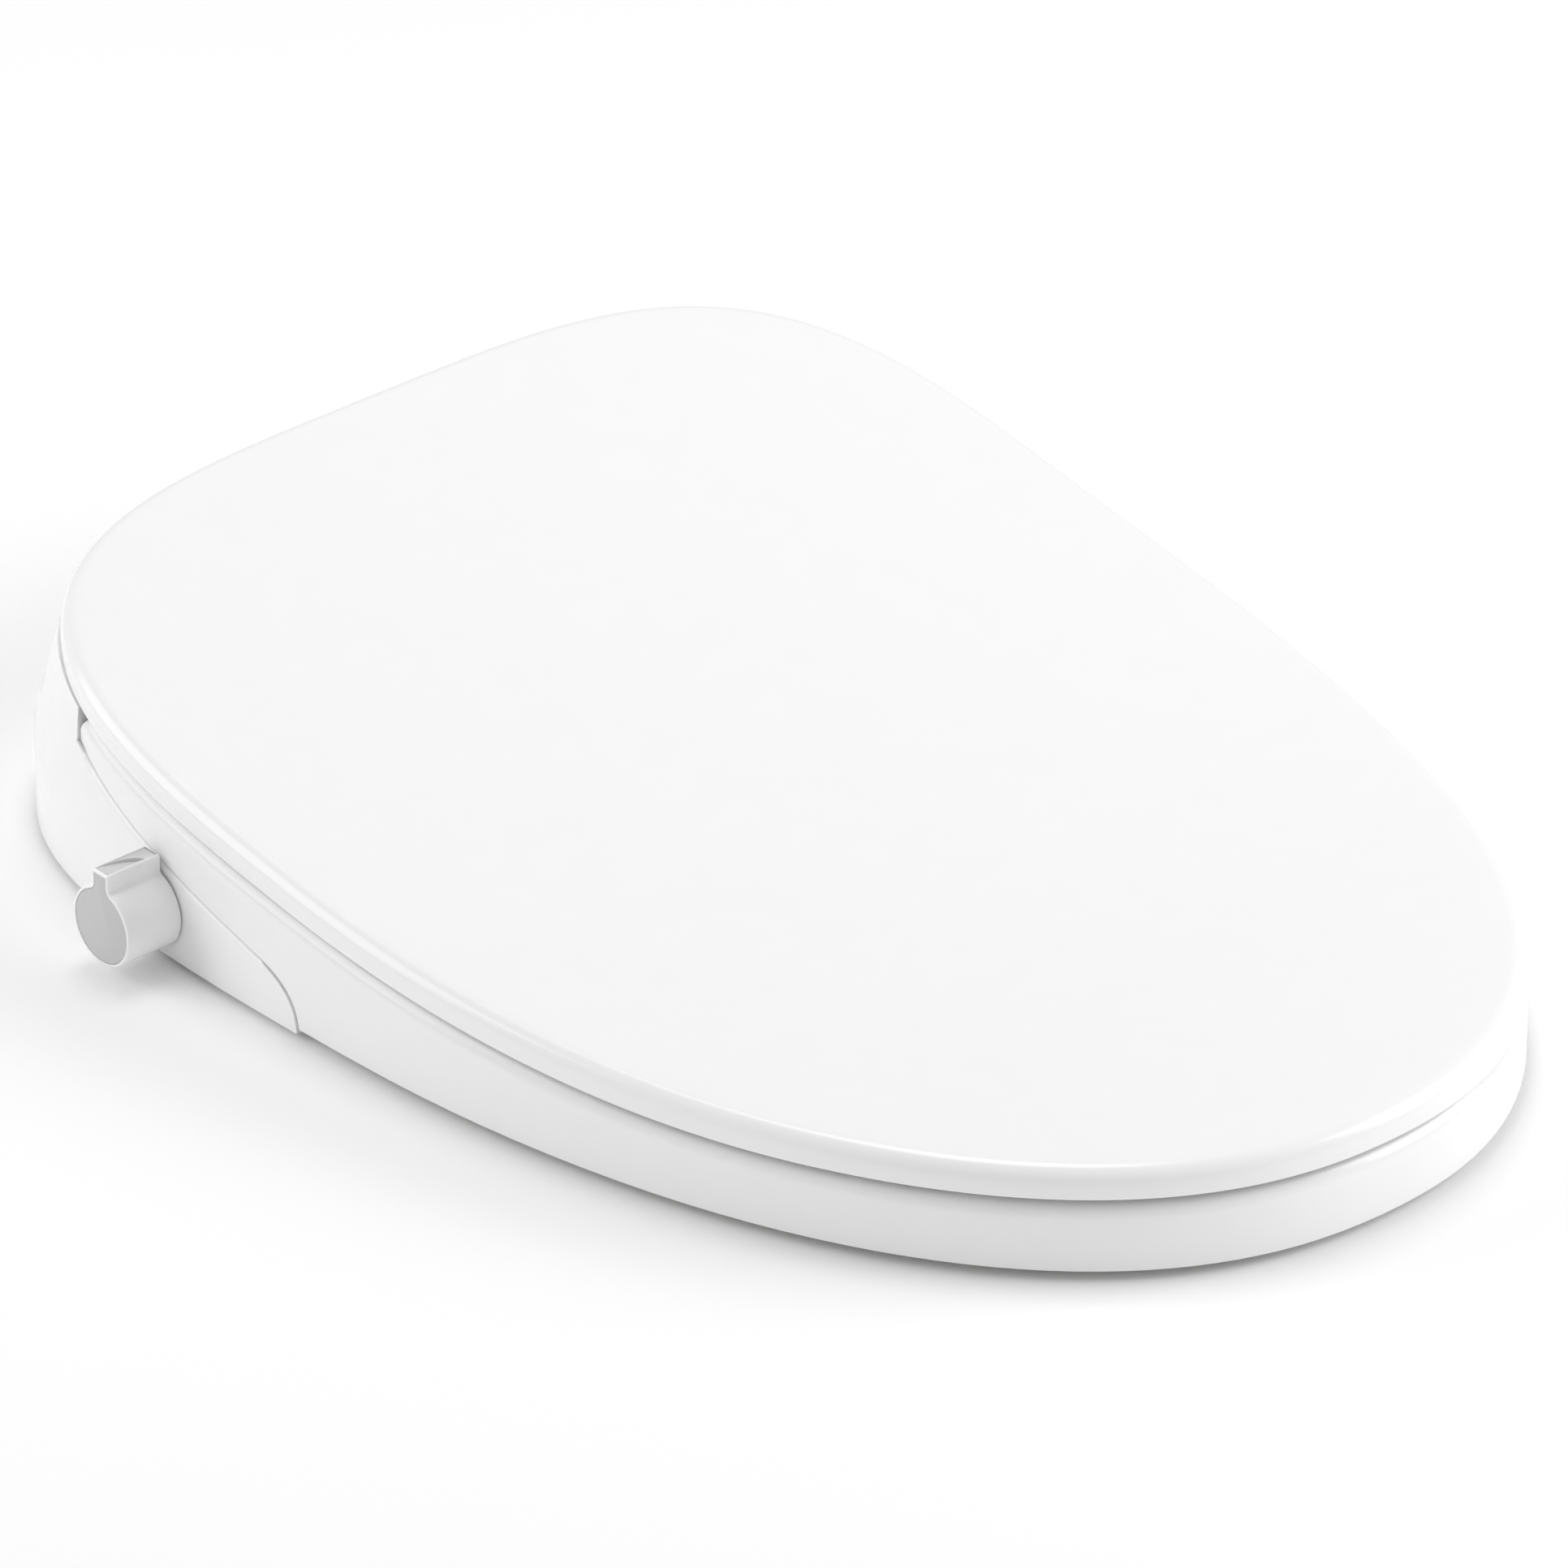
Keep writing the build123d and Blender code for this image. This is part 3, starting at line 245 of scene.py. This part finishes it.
def ease_edges(piece, width, angle=40, segments=3):
    """Round a piece's sharp edges with a live bevel."""
    bevel = piece.modifiers.new("eased edges", "BEVEL")
    bevel.width = width
    bevel.segments = segments
    bevel.limit_method = "ANGLE"
    bevel.angle_limit = radians(angle)
    bevel.harden_normals = True
    bevel.miter_outer = "MITER_ARC"


def edge_height(from_nose):
    """Height of the lid's lower edge at a distance from the nose."""
    if from_nose <= LEVEL_RUN:
        return EDGE_AT_NOSE + EDGE_SLOPE * from_nose
    lean = atan(EDGE_SLOPE)
    along = from_nose - (LEVEL_RUN - RISE_RADIUS * sin(lean))
    start = EDGE_AT_NOSE + EDGE_SLOPE * LEVEL_RUN
    return start + RISE_RADIUS * cos(lean) - sqrt(RISE_RADIUS**2 - along**2)


def plan_spot(turn, half, front, rear, middle):
    """Point of the two half superellipses that meet at the widest place."""
    side, forward = cos(turn), sin(turn)
    power, reach = (TAIL_POWER, rear) if forward > 0 else (NOSE_POWER, front)
    x = abs(side) ** (2 / power) * half
    y = abs(forward) ** (2 / power) * reach
    return (x if side > 0 else -x), middle + (y if forward > 0 else -y)


def lid_rows(sizes):
    """Inset and rise of each row of the lid's skin, from its lower lip to its middle."""
    curl = sizes.curl
    lip = [(curl * (1 - sin(pi / 2 * n / 5)), curl * (1 - cos(pi / 2 * n / 5)))
           for n in range(6)]
    start = sizes.side
    lip.append((0, start))
    arc = [(sizes.edge_round * (1 - cos(pi / 2 * n / 8)),
            start + sizes.edge_round * sin(pi / 2 * n / 8)) for n in range(1, 9)]
    low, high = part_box("lid_shell")
    half = (high.x - low.x) / 2
    brim = arc[-1][1]
    crown = []
    for n in range(1, 15):
        share = n / 14
        inset = sizes.edge_round + (half - sizes.edge_round) * share
        crown.append((inset, brim + sizes.crown * (1 - (1 - share) ** 2)))
    return lip + arc + crown


def make_lid(sizes):
    """The lid: one skin drawn row by row from its lip over the rounded edge to its crown."""
    low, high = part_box("lid_shell")
    half, nose, tail = (high.x - low.x) / 2, low.y, high.y
    middle = nose + WIDEST_FROM_NOSE
    bm = bmesh.new()
    row = bmesh.ops.create_circle(bm, segments=PLAN_STEPS, radius=1)["verts"]
    turns = {v: 2 * pi * n / PLAN_STEPS for n, v in enumerate(row)}
    edges = bm.edges[:]
    for number, (inset, rise) in enumerate(lid_rows(sizes)):
        if number:
            made = bmesh.ops.extrude_edge_only(bm, edges=edges)["geom"]
            edges = [g for g in made if isinstance(g, bmesh.types.BMEdge)]
            fresh = {g for g in made if isinstance(g, bmesh.types.BMVert)}
            ring = {e for v in fresh for e in v.link_edges}
            turns = {v: turns[e.other_vert(v)] for e in ring for v in e.verts
                     if v in fresh and e.other_vert(v) not in fresh}
            edges = [e for e in edges if all(v in fresh for v in e.verts)]
        for v, turn in turns.items():
            x, y = plan_spot(turn, max(half - inset, 0), middle - nose - inset,
                             max(tail - middle - inset, 0), middle)
            v.co = (x, y, edge_height(y - nose) + rise)
    bmesh.ops.remove_doubles(bm, verts=bm.verts, dist=1e-6)
    bmesh.ops.recalc_face_normals(bm, faces=bm.faces)
    piece = place_piece("lid_skin", bm, "white_gloss", "lid", 60, ["lid_shell"])
    wall = piece.modifiers.new("wall", "SOLIDIFY")
    wall.thickness = sizes.wall
    wall.offset = -1


def merged_copy(source):
    """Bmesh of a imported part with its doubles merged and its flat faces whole."""
    bm = bmesh.new()
    bm.from_mesh(NODES[source].data)
    bmesh.ops.remove_doubles(bm, verts=bm.verts, dist=2e-6)
    bmesh.ops.dissolve_limit(bm, angle_limit=radians(0.3), verts=bm.verts, edges=bm.edges)
    return bm


def make_ring(sizes):
    """The ring's skin, with its sharp edges eased."""
    piece = place_piece("ring_skin", merged_copy("seat_top"), "white_gloss", "seat", 30,
                        ["seat_top"])
    ease_edges(piece, sizes.ring_ease)


def is_wing_brow(edge, rear):
    """True for the edges where a wing's outer wall meets the slope under the ring."""
    if len(edge.link_faces) != 2 or edge.calc_face_angle(0) < radians(35):
        return False
    wall, slope = sorted(edge.link_faces, key=lambda f: f.normal.z)
    middle = (edge.verts[0].co + edge.verts[1].co) / 2
    return (abs(wall.normal.z) < 0.1 and wall.normal.x * middle.x > 0
            and slope.normal.z > 0.3 and slope.calc_area() > HOLE_FACET
            and all(v.co.y < rear for v in edge.verts))


def make_housing(sizes):
    """The housing's skin: brows of the wings rounded wide, the other edges eased."""
    bm = merged_copy("rear_cover")
    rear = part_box("seat_top")[1].y
    brow = [e for e in bm.edges if is_wing_brow(e, rear)]
    bmesh.ops.bevel(bm, geom=brow, offset=sizes.brow, offset_type="OFFSET", segments=5,
                    profile=0.5, affect="EDGES", material=-1, clamp_overlap=False)
    piece = place_piece("housing_skin", bm, "white_gloss", "base", 30, ["rear_cover"])
    ease_edges(piece, sizes.housing_ease)


def spin(bm, vert, centre, angle, steps):
    """Draw an arc on from a vertex, and give back the vertex at its end."""
    made = bmesh.ops.spin(bm, geom=[vert], cent=(*centre, 0), axis=(0, 0, 1), angle=angle,
                          steps=steps, use_merge=False)["geom_last"]
    return next(g for g in made if isinstance(g, bmesh.types.BMVert))


def draw_on(bm, vert, spot):
    """Draw a straight line on from a vertex."""
    fresh = bmesh.ops.extrude_vert_indiv(bm, verts=[vert])["verts"][0]
    fresh.co = (*spot, 0)
    return fresh


def keyhole(radius, half, top, web, tip):
    """Flat keyhole: a disc with a fin, filleted where they meet and rounded at the fin's tip."""
    bm = bmesh.new()
    rise = sqrt((radius + web) ** 2 - (half + web) ** 2)
    lean = atan2(rise, half + web)
    end = bm.verts.new((0, -radius, 0))
    end = spin(bm, end, (0, 0), lean + pi / 2, 36)
    end = spin(bm, end, (half + web, rise), -lean, 8)
    end = draw_on(bm, end, (half, top - tip))
    end = spin(bm, end, (half - tip, top - tip), pi / 2, 5)
    draw_on(bm, end, (0, top))
    bmesh.ops.mirror(bm, geom=bm.verts[:] + bm.edges[:], axis="X", merge_dist=1e-6)
    bmesh.ops.remove_doubles(bm, verts=bm.verts, dist=1e-6)
    bmesh.ops.edgenet_fill(bm, edges=bm.edges[:])
    if bm.faces[0].normal.z < 0:
        bmesh.ops.reverse_faces(bm, faces=bm.faces)
    return bm


def raise_face(bm, face, height):
    """Pull a face along Z, and give back the face that moved."""
    made = bmesh.ops.extrude_face_region(bm, geom=[face])["geom"]
    bmesh.ops.translate(bm, verts=[g for g in made if isinstance(g, bmesh.types.BMVert)],
                        vec=(0, 0, height))
    return next(g for g in made if isinstance(g, bmesh.types.BMFace))


def round_rim(bm, face, width, segments):
    """Round the edges around a face."""
    bmesh.ops.bevel(bm, geom=face.edges[:], offset=width, offset_type="OFFSET",
                    segments=segments, profile=0.5, affect="EDGES", material=-1,
                    clamp_overlap=True)


def dial_frame():
    """Matrix that stands a shape drawn flat on the dial's axis: Y up, Z outwards."""
    low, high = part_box("dial_knob")
    axis = Vector((high.x, (low.y + high.y) / 2, low.z + DIAL_RADIUS))
    return Matrix.Translation(axis) @ Matrix(((0, 0, -1), (-1, 0, 0), (0, 1, 0))).to_4x4()


def top_face(bm):
    """Largest face that looks along +Z."""
    return max((f for f in bm.faces if f.normal.z > 0.99), key=lambda f: f.calc_area())


def make_dial_body(sizes):
    """The white knob: a keyhole pulled out, with rounded rims and pockets for its two plates."""
    low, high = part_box("dial_knob")
    reach, top = high.x - low.x, high.z - low.z - DIAL_RADIUS
    bm = keyhole(DIAL_RADIUS, FIN_HALF, top, sizes.web, FIN_TIP)
    raise_face(bm, bm.faces[0], reach)
    bmesh.ops.recalc_face_normals(bm, faces=bm.faces)
    face = max((f for f in bm.faces if len(f.verts) > 8), key=lambda f: f.calc_center_median().z)
    round_rim(bm, face, KNOB_RIM, 3)
    front = top_face(bm)
    bmesh.ops.inset_region(bm, faces=[front], thickness=sizes.rim - KNOB_RIM,
                           use_even_offset=True)
    raise_face(bm, front, -sizes.plate)
    bmesh.ops.delete(bm, geom=[front], context="FACES_ONLY")
    crest = [f for f in bm.faces if f.normal.y > 0.99 and f.calc_center_median().y > top - 1e-5]
    bmesh.ops.inset_region(bm, faces=crest, thickness=CREST_RIM, use_even_offset=True)
    made = bmesh.ops.extrude_face_region(bm, geom=crest)["geom"]
    bmesh.ops.translate(bm, verts=[g for g in made if isinstance(g, bmesh.types.BMVert)],
                        vec=(0, -sizes.plate - sizes.scoop, 0))
    bmesh.ops.delete(bm, geom=crest, context="FACES_ONLY")
    bmesh.ops.transform(bm, matrix=dial_frame(), verts=bm.verts)
    bmesh.ops.recalc_face_normals(bm, faces=bm.faces)
    place_piece("dial_body", bm, "white_gloss", "dial", 40, ["dial_knob"])


def make_dial_plate(sizes):
    """The grey face plate, set into the knob with a fine dark groove round it."""
    low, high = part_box("dial_knob")
    reach, top = high.x - low.x, high.z - low.z - DIAL_RADIUS
    inset = sizes.rim + sizes.groove
    bm = keyhole(DIAL_RADIUS - inset, FIN_HALF - inset, top - inset, sizes.web + inset,
                 PLATE_TIP)
    raise_face(bm, bm.faces[0], sizes.plate - PLATE_SINK)
    bmesh.ops.recalc_face_normals(bm, faces=bm.faces)
    round_rim(bm, top_face(bm), PLATE_RIM, 2)
    bmesh.ops.translate(bm, verts=bm.verts, vec=(0, 0, reach - sizes.plate))
    bmesh.ops.transform(bm, matrix=dial_frame(), verts=bm.verts)
    place_piece("dial_plate", bm, "grey_satin", "dial", 40, ["dial_cap"])


def make_dial_strip(sizes):
    """The grey strip on the fin's crest, with a crescent scoop for the finger."""
    low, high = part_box("dial_knob")
    reach, top = high.x - low.x, high.z - low.z - DIAL_RADIUS
    half = FIN_HALF - STRIP_MARGIN
    front, back = reach - STRIP_FRONT, STRIP_BACK
    bm = bmesh.new()
    bmesh.ops.create_grid(bm, x_segments=STRIP_COLUMNS, y_segments=SCOOP_ROWS, size=1)
    for v in bm.verts:
        column = round((v.co.x + 1) / 2 * STRIP_COLUMNS)
        along = (v.co.y + 1) / 2
        z = front + (back - front) * along
        reach_share = min(along / SCOOP_LENGTH, 1)
        wall = half - SCOOP_BULGE * half * sqrt(1 - reach_share**2)
        dip = sizes.scoop * reach_share * min(1, 8 * (1 - reach_share)) ** 0.5
        if column == 0:
            x, drop = -half, 0
        elif column == 1:
            x, drop = wall - SCOOP_LIP, 0
        else:
            share = (column - 2) / (STRIP_COLUMNS - 2)
            x = wall + (half - wall) * share
            drop = dip * (1 - 0.45 * share)
        v.co = (x, top - STRIP_SINK - drop, z)
    bmesh.ops.transform(bm, matrix=dial_frame(), verts=bm.verts)
    bmesh.ops.recalc_face_normals(bm, faces=bm.faces)
    if sum(f.normal.z for f in bm.faces) < 0:
        bmesh.ops.reverse_faces(bm, faces=bm.faces)
    # the crest strip takes the lacquer painted a shade lighter, painted light for its upward face
    piece = place_piece("dial_strip", bm, "grey_crest_painted_light", "dial", 45)
    wall = piece.modifiers.new("wall", "SOLIDIFY")
    wall.thickness = STRIP_THICK
    wall.offset = -1


# --- settings ----------------------------------------------------------------------
class SkinSizes(bpy.types.PropertyGroup):
    edge_round: FloatProperty(name="Lid edge radius", default=0.0065, unit="LENGTH",
                              description="Radius of the lid's upper outer edge")
    curl: FloatProperty(name="Lid lip", default=0.001, unit="LENGTH",
                        description="Radius that turns the lid's side under at its lip")
    side: FloatProperty(name="Lid side", default=0.0045, unit="LENGTH",
                        description="Height at which the lid's side starts to round over")
    crown: FloatProperty(name="Lid crown", default=0.0014, unit="LENGTH",
                         description="How much higher the lid's middle stands than its edge")
    wall: FloatProperty(name="Lid wall", default=0.0024, unit="LENGTH",
                        description="Thickness of the lid's wall")
    ring_ease: FloatProperty(name="Ring edges", default=0.0012, unit="LENGTH",
                             description="Radius on the ring's sharp edges")
    brow: FloatProperty(name="Wing brows", default=0.0025, unit="LENGTH",
                        description="Radius on the wings' upper outer edges")
    housing_ease: FloatProperty(name="Housing edges", default=0.0008, unit="LENGTH",
                                description="Radius on the housing's sharp edges")


class DialSizes(bpy.types.PropertyGroup):
    web: FloatProperty(name="Fillet", default=0.0022, unit="LENGTH",
                       description="Radius where the fin runs into the drum")
    rim: FloatProperty(name="Rim", default=0.0011, unit="LENGTH",
                       description="Width of the white rim round the face plate")
    groove: FloatProperty(name="Groove", default=0.00015, unit="LENGTH",
                          description="Gap between the rim and the face plate")
    plate: FloatProperty(name="Plate", default=0.0009, unit="LENGTH",
                         description="Thickness of the face plate")
    scoop: FloatProperty(name="Scoop", default=0.0016, unit="LENGTH",
                         description="Depth of the finger scoop in the fin's crest")


class LookColours(bpy.types.PropertyGroup):
    white: FloatVectorProperty(name="White", subtype="COLOR", default=linear("#F7F7F7"),
                               description="Colour of the gloss mouldings")
    plate: FloatVectorProperty(name="Plate", subtype="COLOR", default=linear("#C8C8C8"),
                               description="Colour of the dial's plates")


class StudioSettings(bpy.types.PropertyGroup):
    floor: FloatVectorProperty(name="Floor", subtype="COLOR", default=linear("#FEFEFE"),
                               description="Colour of the studio floor")
    sky: FloatProperty(name="Sky", default=0.50, description="Strength of the light all round")
    azimuth: FloatProperty(name="Azimuth", default=radians(-41.547), subtype="ANGLE",
                           description="Direction that the camera looks along")
    elevation: FloatProperty(name="Elevation", default=radians(29.652), subtype="ANGLE",
                             description="Camera's angle above the horizon")
    distance: FloatProperty(name="Distance", default=4.4024, unit="LENGTH",
                            description="From the camera to the place it looks at")
    lens: FloatProperty(name="Lens", default=299.85,
                        description="Focal length in millimetres on a 36 mm sensor")


# --- operators -----------------------------------------------------------------------
MATERIALS = {}


class SEATLOOKS_OT_parts(bpy.types.Operator):
    """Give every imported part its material"""
    bl_idname = "seatlooks.parts"
    bl_label = "Part materials"

    def execute(self, context):
        MATERIALS.update(make_materials(context.scene.seat_colours))
        for part in frame["record"]["subparts"]:
            node = NODES[part["node"]]
            for holder in node.material_slots:
                holder.link = "OBJECT"
                holder.material = MATERIALS[part["material_slot"]]
        return {"FINISHED"}


class SEATLOOKS_OT_lid(bpy.types.Operator):
    """Make the lid's moulded skin"""
    bl_idname = "seatlooks.lid"
    bl_label = "Lid"

    def execute(self, context):
        make_lid(context.scene.seat_skins)
        return {"FINISHED"}


class SEATLOOKS_OT_ring(bpy.types.Operator):
    """Make the ring's moulded skin"""
    bl_idname = "seatlooks.ring"
    bl_label = "Ring"

    def execute(self, context):
        make_ring(context.scene.seat_skins)
        return {"FINISHED"}


class SEATLOOKS_OT_housing(bpy.types.Operator):
    """Make the housing's moulded skin"""
    bl_idname = "seatlooks.housing"
    bl_label = "Housing"

    def execute(self, context):
        make_housing(context.scene.seat_skins)
        return {"FINISHED"}


class SEATLOOKS_OT_dial(bpy.types.Operator):
    """Make the dial's knob, face plate and crest strip"""
    bl_idname = "seatlooks.dial"
    bl_label = "Dial"

    def execute(self, context):
        sizes = context.scene.seat_dial
        make_dial_body(sizes)
        make_dial_plate(sizes)
        make_dial_strip(sizes)
        return {"FINISHED"}


def soft_light(name, spot, size, power, target):
    """Square soft box that faces a place."""
    data = bpy.data.lights.new(name, "AREA")
    data.size = size
    data.energy = power
    lamp = bpy.data.objects.new(name, data)
    lamp.location = spot
    lamp.rotation_euler = (target - spot).to_track_quat("-Z", "Y").to_euler()
    bpy.context.scene.collection.objects.link(lamp)


class SEATLOOKS_OT_studio(bpy.types.Operator):
    """Set up the floor, the soft light and the camera"""
    bl_idname = "seatlooks.studio"
    bl_label = "Studio"

    def execute(self, context):
        studio = context.scene.seat_studio
        bm = bmesh.new()
        bmesh.ops.create_grid(bm, x_segments=1, y_segments=1, size=FLOOR_HALF)
        bmesh.ops.translate(bm, verts=bm.verts, vec=(0, 0, CAD_BOX[0][2] - FLOOR_DROP))
        mesh = bpy.data.meshes.new("studio_floor")
        bm.to_mesh(mesh)
        bm.free()
        floor = bpy.data.objects.new("studio_floor", mesh)
        # matt painted board: even, with a faint roller texture
        mesh.materials.append(surface("painted_board", studio.floor, (0.85, 0.95), 3, 0.01,
                                      tint=0.004))
        context.scene.collection.objects.link(floor)
        world = bpy.data.worlds.new("studio_air")
        world.use_nodes = True
        world.node_tree.nodes.clear()
        sky = add(world.node_tree, "ShaderNodeBackground",
                  inputs={"Color": (1, 1, 1, 1), "Strength": studio.sky})
        add(world.node_tree, "ShaderNodeOutputWorld", {"Surface": sky.outputs["Background"]})
        context.scene.world = world
        across = Vector((cos(studio.azimuth), sin(studio.azimuth), 0)) * SIDE_LIGHT_AWAY
        soft_light("softbox_top", TOP_LIGHT_AT, 1.0, 12, LOOK_AT)
        soft_light("softbox_right", LOOK_AT + across + SIDE_LIGHT_UP, 1.4, 27, LOOK_AT)
        soft_light("softbox_left", LOOK_AT - across + SIDE_LIGHT_UP, 1.4, 16, LOOK_AT)
        data = bpy.data.cameras.new("studio_camera")
        data.lens = studio.lens
        data.sensor_width = SENSOR_WIDTH
        camera = bpy.data.objects.new("studio_camera", data)
        az, el = studio.azimuth, studio.elevation
        back = Vector((sin(az) * cos(el), -cos(az) * cos(el), sin(el)))
        camera.location = LOOK_AT + back * studio.distance
        camera.rotation_euler = (-back).to_track_quat("-Z", "Y").to_euler()
        context.scene.collection.objects.link(camera)
        context.scene.camera = camera
        context.scene.view_settings.view_transform = "Standard"
        return {"FINISHED"}


class SEATLOOKS_PT_panel(bpy.types.Panel):
    """Lists the looks of the bidet seat"""
    bl_idname = "SEATLOOKS_PT_panel"
    bl_label = "Bidet seat looks"
    bl_space_type = "VIEW_3D"
    bl_region_type = "UI"
    bl_category = "Bidet seat"

    def draw(self, context):
        scene = context.scene
        for group in (scene.seat_skins, scene.seat_dial, scene.seat_colours, scene.seat_studio):
            box = self.layout.box()
            for key in group.__annotations__:
                box.prop(group, key)
        for step in STEPS:
            self.layout.operator(step.bl_idname)


GROUPS = {"seat_skins": SkinSizes, "seat_dial": DialSizes, "seat_colours": LookColours,
          "seat_studio": StudioSettings}
STEPS = (SEATLOOKS_OT_parts, SEATLOOKS_OT_lid, SEATLOOKS_OT_ring, SEATLOOKS_OT_housing,
         SEATLOOKS_OT_dial, SEATLOOKS_OT_studio)


def register():
    for kind in (*GROUPS.values(), *STEPS, SEATLOOKS_PT_panel):
        bpy.utils.register_class(kind)
    for name, group in GROUPS.items():
        setattr(bpy.types.Scene, name, PointerProperty(type=group))


def unregister():
    for name in GROUPS:
        delattr(bpy.types.Scene, name)
    for kind in reversed((*GROUPS.values(), *STEPS, SEATLOOKS_PT_panel)):
        bpy.utils.unregister_class(kind)


def main():
    register()
    for step in STEPS:
        group, name = step.bl_idname.split(".")
        getattr(getattr(bpy.ops, group), name)()


if __name__ == "__main__":
    main()
